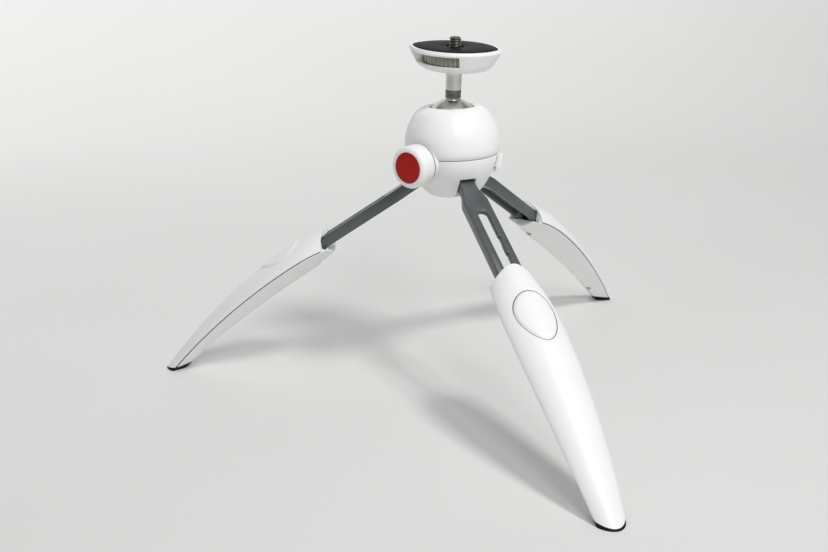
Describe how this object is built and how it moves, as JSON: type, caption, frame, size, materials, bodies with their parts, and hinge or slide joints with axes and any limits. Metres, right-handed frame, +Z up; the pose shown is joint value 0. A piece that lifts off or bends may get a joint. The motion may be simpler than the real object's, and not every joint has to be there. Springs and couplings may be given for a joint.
{
  "type": "mini tripod",
  "caption": "Table-top tripod with a ball head, a knurled camera screw on a leaf-shaped plate, and telescopic folding legs with a locking button.",
  "frame": {"origin": "on the floor, under the axis of the head", "axes": "+Z up along the head's axis; the front leg points along -Y; the camera plate leans a little towards the front left"},
  "size_m": [0.303, 0.2645, 0.1911],
  "materials": {
    "white_plastic": "satin moulded white plastic",
    "leg_bar_paint": "fine slate-grey paint on aluminium",
    "ball_metal": "turned satin steel",
    "aluminium": "satin turned aluminium",
    "steel": "plain bright steel",
    "dark_steel": "blackened steel",
    "wheel_metal": "dark olive-grey knurled metal",
    "brass": "machined",
    "inner_plastic": "natural acetal",
    "red_gloss": "polished red insert",
    "black_rubber": "fine matt rubber"
  },
  "bodies": {
    "housing": {"lower_housing": "white_plastic", "upper_housing": "white_plastic", "base_cap": "white_plastic", "base_screw": "dark_steel", "housing_screws": "steel", "front_pivot_pin": "steel", "right_pivot_pin": "steel", "left_pivot_pin": "steel"},
    "friction_ring": {"friction_ring": "inner_plastic"},
    "stem": {"ball_stem": "ball_metal"},
    "plate": {"plate_neck": "aluminium", "plate_shell": "white_plastic", "stem_screw": "dark_steel", "rubber_pad": "black_rubber"},
    "camera_screw": {"thumb_wheel": "wheel_metal", "camera_screw": "dark_steel", "screw_clip": "steel"},
    "knob": {"knob_body": "white_plastic", "knob_disc": "red_gloss", "knob_shaft": "steel", "knob_clip": "steel"},
    "wedge": {"lock_wedge": "brass"},
    "cup": {"pressure_cup": "inner_plastic"},
    "selector": {"selector_tab": "white_plastic", "stop_ring": "inner_plastic"},
    "front_leg": {"front_bar": "leg_bar_paint"},
    "front_sleeve": {"front_top_shell": "white_plastic", "front_bottom_shell": "white_plastic", "front_shell_screws": "dark_steel", "front_foot_pad": "black_rubber"},
    "front_button": {"front_button": "white_plastic", "front_button_spring": "steel"},
    "right_leg": {"right_bar": "leg_bar_paint"},
    "right_sleeve": {"right_top_shell": "white_plastic", "right_bottom_shell": "white_plastic", "right_shell_screws": "dark_steel", "right_foot_pad": "black_rubber"},
    "right_button": {"right_button": "white_plastic", "right_button_spring": "steel"},
    "left_leg": {"left_bar": "leg_bar_paint"},
    "left_sleeve": {"left_top_shell": "white_plastic", "left_bottom_shell": "white_plastic", "left_shell_screws": "dark_steel", "left_foot_pad": "black_rubber"},
    "left_button": {"left_button": "white_plastic", "left_button_spring": "steel"}
  },
  "joints": [
    {"name": "head_pan", "type": "hinge", "parent": "housing", "child": "friction_ring", "pos_m": [0, 0, 0.1458], "axis": [0, 0, 1], "continuous": true},
    {"name": "head_tilt", "type": "hinge", "parent": "friction_ring", "child": "stem", "pos_m": [0, 0, 0.1458], "axis": [0.9833, 0.1822, 0], "range_deg": [-40, 30]},
    {"name": "head_spin", "type": "hinge", "parent": "stem", "child": "plate", "pos_m": [0.00032, -0.00175, 0.16391], "axis": [0.0178, -0.0959, 0.9952], "continuous": true},
    {"name": "camera_screw_turn", "type": "hinge", "parent": "plate", "child": "camera_screw", "pos_m": [0.00066, -0.00355, 0.18262], "axis": [0.0178, -0.0959, 0.9952], "continuous": true},
    {"name": "lock_knob_turn", "type": "hinge", "parent": "housing", "child": "knob", "pos_m": [-0.02598, -0.015, 0.1288], "axis": [-0.866, -0.5, 0], "range_deg": [0, 540]},
    {"name": "wedge_slide", "type": "slide", "parent": "housing", "child": "wedge", "axis": [-0.866, -0.5, 0], "range_m": [0, 0.0012]},
    {"name": "cup_lift", "type": "slide", "parent": "housing", "child": "cup", "axis": [0, 0, 1], "range_m": [-0.000179, 0]},
    {"name": "angle_selector_slide", "type": "slide", "parent": "housing", "child": "selector", "axis": [0, 0, 1], "range_m": [-0.005, 0]},
    {"name": "front_leg_fold", "type": "hinge", "parent": "housing", "child": "front_leg", "pos_m": [0, -0.013, 0.1188], "axis": [-1, 0, 0], "range_deg": [-53, 0]},
    {"name": "front_leg_extend", "type": "slide", "parent": "front_leg", "child": "front_sleeve", "axis": [0, -0.8387, -0.5446], "range_m": [-0.0444, 0]},
    {"name": "front_button_press", "type": "slide", "parent": "front_sleeve", "child": "front_button", "axis": [0, -0.5446, 0.8387], "range_m": [-0.0015, 0], "stiffness_N_per_m": 800, "springref_m": 0.0006},
    {"name": "right_leg_fold", "type": "hinge", "parent": "housing", "child": "right_leg", "pos_m": [0.01126, 0.0065, 0.1188], "axis": [0.5, -0.866, 0], "range_deg": [-53, 0]},
    {"name": "right_leg_extend", "type": "slide", "parent": "right_leg", "child": "right_sleeve", "axis": [0.7263, 0.4193, -0.5446], "range_m": [-0.0444, 0]},
    {"name": "right_button_press", "type": "slide", "parent": "right_sleeve", "child": "right_button", "axis": [0.4717, 0.2723, 0.8387], "range_m": [-0.0015, 0], "stiffness_N_per_m": 800, "springref_m": 0.0006},
    {"name": "left_leg_fold", "type": "hinge", "parent": "housing", "child": "left_leg", "pos_m": [-0.01126, 0.0065, 0.1188], "axis": [0.5, 0.866, 0], "range_deg": [-53, 0]},
    {"name": "left_leg_extend", "type": "slide", "parent": "left_leg", "child": "left_sleeve", "axis": [-0.7263, 0.4193, -0.5446], "range_m": [-0.0444, 0]},
    {"name": "left_button_press", "type": "slide", "parent": "left_sleeve", "child": "left_button", "axis": [-0.4717, 0.2723, 0.8387], "range_m": [-0.0015, 0], "stiffness_N_per_m": 800, "springref_m": 0.0006}
  ],
  "couplings": [
    {"joint": "lock_knob_turn", "follows": "wedge_slide", "rad_per_m": 7854},
    {"joint": "cup_lift", "follows": "wedge_slide", "ratio": -0.14054}
  ]
}
